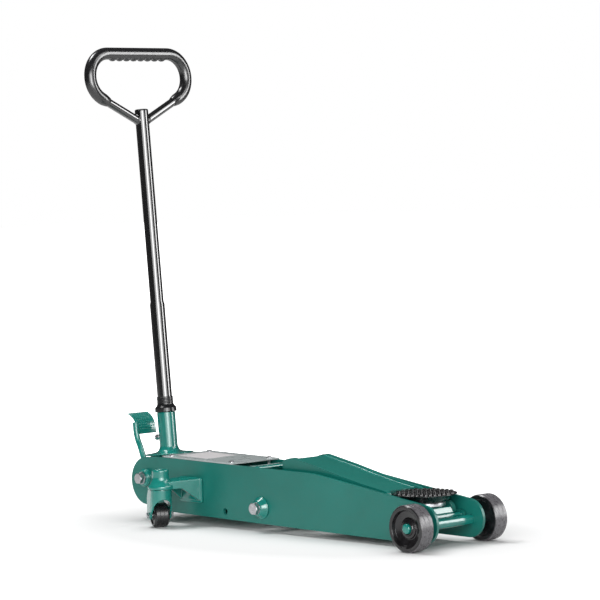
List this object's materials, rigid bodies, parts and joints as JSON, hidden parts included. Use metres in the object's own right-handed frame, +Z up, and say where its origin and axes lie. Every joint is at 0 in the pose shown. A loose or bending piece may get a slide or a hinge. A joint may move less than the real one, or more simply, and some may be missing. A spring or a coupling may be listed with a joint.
{
  "type": "trolley jack",
  "caption": "Low, long-chassis hydraulic trolley jack with a studded rubber saddle, swivel rear casters, a foot pedal and a tall D-shaped pull handle.",
  "frame": {"origin": "middle of the bounding box at floor level", "axes": "+X towards the lifting end, +Y to the left side, +Z up; the handle stands parked at the rear"},
  "size_m": [0.9394, 0.328, 0.9924],
  "materials": {
    "green_paint": "gloss green enamel over steel and castings",
    "grey_cover_paint": "satin light grey sheet",
    "zinc_plate": "bright zinc plating",
    "bright_steel": "ground steel",
    "cast_body": "plain casting",
    "black_nylon": "satin black nylon",
    "saddle_rubber": "matt black moulded rubber",
    "black_gloss_paint": "high gloss black enamel",
    "black_trim": "satin black moulding",
    "grip_rubber": "soft satin black grip"
  },
  "bodies": {
    "chassis": {"side_plate_left": "green_paint", "side_plate_right": "green_paint", "front_axle": "green_paint", "cross_member": "green_paint", "base_plate": "green_paint", "arm_pivot_boss_left": "green_paint", "arm_pivot_boss_right": "green_paint", "arm_pivot_bolt": "zinc_plate", "arm_pivot_nut": "zinc_plate", "handle_pivot_boss_left": "green_paint", "handle_pivot_boss_right": "green_paint", "handle_pivot_bolt_left": "zinc_plate", "handle_pivot_bolt_right": "zinc_plate", "cover_plate": "grey_cover_paint", "cover_screw_1": "zinc_plate", "cover_screw_2": "zinc_plate", "cover_screw_3": "zinc_plate", "cover_screw_4": "zinc_plate", "pump_body": "cast_body", "hydraulic_cylinder": "green_paint", "cylinder_gland_nut": "bright_steel", "link_anchor_pin_left": "bright_steel", "link_anchor_pin_right": "bright_steel", "caster_bracket_left": "green_paint", "caster_bracket_right": "green_paint"},
    "front_wheel_l": {"front_wheel_left": "black_nylon"},
    "front_wheel_r": {"front_wheel_right": "black_nylon"},
    "caster_l": {"caster_fork_left": "green_paint", "caster_kingpin_left": "zinc_plate", "caster_axle_left": "zinc_plate"},
    "caster_r": {"caster_fork_right": "green_paint", "caster_kingpin_right": "zinc_plate", "caster_axle_right": "zinc_plate"},
    "caster_wheel_l": {"caster_wheel_left": "black_nylon"},
    "caster_wheel_r": {"caster_wheel_right": "black_nylon"},
    "ram": {"ram_rod": "bright_steel", "ram_crosshead": "bright_steel"},
    "plunger": {"pump_plunger": "bright_steel"},
    "arm": {"lift_arm": "green_paint", "crank_pin": "bright_steel", "carrier_pin_left": "bright_steel", "carrier_pin_right": "bright_steel"},
    "link_l": {"levelling_link_left": "green_paint"},
    "link_r": {"levelling_link_right": "green_paint"},
    "carrier": {"saddle_carrier": "green_paint", "link_front_pin": "green_paint"},
    "saddle": {"saddle_plate": "zinc_plate", "saddle_pad": "saddle_rubber"},
    "yoke": {"handle_yoke": "green_paint", "socket_screw": "zinc_plate", "roller_pin": "bright_steel"},
    "roller": {"pump_roller": "bright_steel"},
    "pedal": {"foot_pedal": "green_paint"},
    "handle": {"handle_shaft": "black_gloss_paint", "shaft_end_cap": "black_trim", "shaft_collar": "black_trim", "release_rod": "bright_steel", "handle_frame": "black_gloss_paint", "hand_grip": "grip_rubber"},
    "spindle": {"release_spindle": "bright_steel"}
  },
  "joints": [
    {"name": "arm_lift", "type": "hinge", "parent": "chassis", "child": "arm", "pos_m": [-0.03325, 0, 0.049], "axis": [0, -1, 0], "range_deg": [0, 55]},
    {"name": "levelling_link_left_swing", "type": "hinge", "parent": "chassis", "child": "link_l", "pos_m": [-0.00625, 0.055, 0.04], "axis": [0, -1, 0], "range_deg": [0, 55]},
    {"name": "levelling_link_right_swing", "type": "hinge", "parent": "chassis", "child": "link_r", "pos_m": [-0.00625, -0.055, 0.04], "axis": [0, -1, 0], "range_deg": [0, 55]},
    {"name": "carrier_levelling", "type": "hinge", "parent": "arm", "child": "carrier", "pos_m": [0.37875, 0, 0.063], "axis": [0, -1, 0], "range_deg": [-55, 0]},
    {"name": "saddle_swivel", "type": "hinge", "parent": "carrier", "child": "saddle", "pos_m": [0.36375, 0, 0.077], "axis": [0, 0, 1], "continuous": true},
    {"name": "ram_stroke", "type": "slide", "parent": "chassis", "child": "ram", "axis": [-1, 0, 0], "range_m": [0, 0.0463]},
    {"name": "handle_pump", "type": "hinge", "parent": "chassis", "child": "yoke", "pos_m": [-0.38725, 0, 0.089], "axis": [0, -1, 0], "range_deg": [0, 55]},
    {"name": "plunger_stroke", "type": "slide", "parent": "chassis", "child": "plunger", "axis": [1, 0, 0], "range_m": [0, 0.029]},
    {"name": "roller_spin", "type": "hinge", "parent": "yoke", "child": "roller", "pos_m": [-0.38491, 0.018, 0.05909], "axis": [0, 1, 0], "continuous": true},
    {"name": "foot_pedal_press", "type": "hinge", "parent": "yoke", "child": "pedal", "pos_m": [-0.38725, -0.0505, 0.089], "axis": [0, -1, 0], "range_deg": [0, 20], "stiffness_Nm_per_rad": 8, "springref_deg": -8.59},
    {"name": "handle_twist", "type": "hinge", "parent": "yoke", "child": "handle", "pos_m": [-0.38725, 0, 0.089], "axis": [-0.0781, 0, 0.9969], "range_deg": [0, 90]},
    {"name": "release_turn", "type": "hinge", "parent": "chassis", "child": "spindle", "pos_m": [-0.38725, 0, 0.06], "axis": [0, 0, 1], "range_deg": [0, 90]},
    {"name": "front_wheel_left_spin", "type": "hinge", "parent": "chassis", "child": "front_wheel_l", "pos_m": [0.42475, 0.1, 0.045], "axis": [0, 1, 0], "continuous": true},
    {"name": "front_wheel_right_spin", "type": "hinge", "parent": "chassis", "child": "front_wheel_r", "pos_m": [0.42475, -0.1, 0.045], "axis": [0, 1, 0], "continuous": true},
    {"name": "caster_left_swivel", "type": "hinge", "parent": "chassis", "child": "caster_l", "pos_m": [-0.25925, 0.137, 0.079], "axis": [0, 0, 1], "continuous": true},
    {"name": "caster_left_wheel_spin", "type": "hinge", "parent": "caster_l", "child": "caster_wheel_l", "pos_m": [-0.27363, 0.12999, 0.025], "axis": [-0.4384, 0.8988, 0], "continuous": true},
    {"name": "caster_right_swivel", "type": "hinge", "parent": "chassis", "child": "caster_r", "pos_m": [-0.25925, -0.137, 0.079], "axis": [0, 0, 1], "continuous": true},
    {"name": "caster_right_wheel_spin", "type": "hinge", "parent": "caster_r", "child": "caster_wheel_r", "pos_m": [-0.27363, -0.12999, 0.025], "axis": [0.4384, 0.8988, 0], "continuous": true}
  ],
  "couplings": [
    {"joint": "levelling_link_left_swing", "follows": "arm_lift", "ratio": 1},
    {"joint": "levelling_link_right_swing", "follows": "arm_lift", "ratio": 1},
    {"joint": "carrier_levelling", "follows": "arm_lift", "ratio": -1},
    {"joint": "ram_stroke", "follows": "arm_lift", "m_per_rad": 0.0481},
    {"joint": "plunger_stroke", "follows": "handle_pump", "m_per_rad": 0.0299},
    {"joint": "release_turn", "follows": "handle_twist", "ratio": 1}
  ]
}
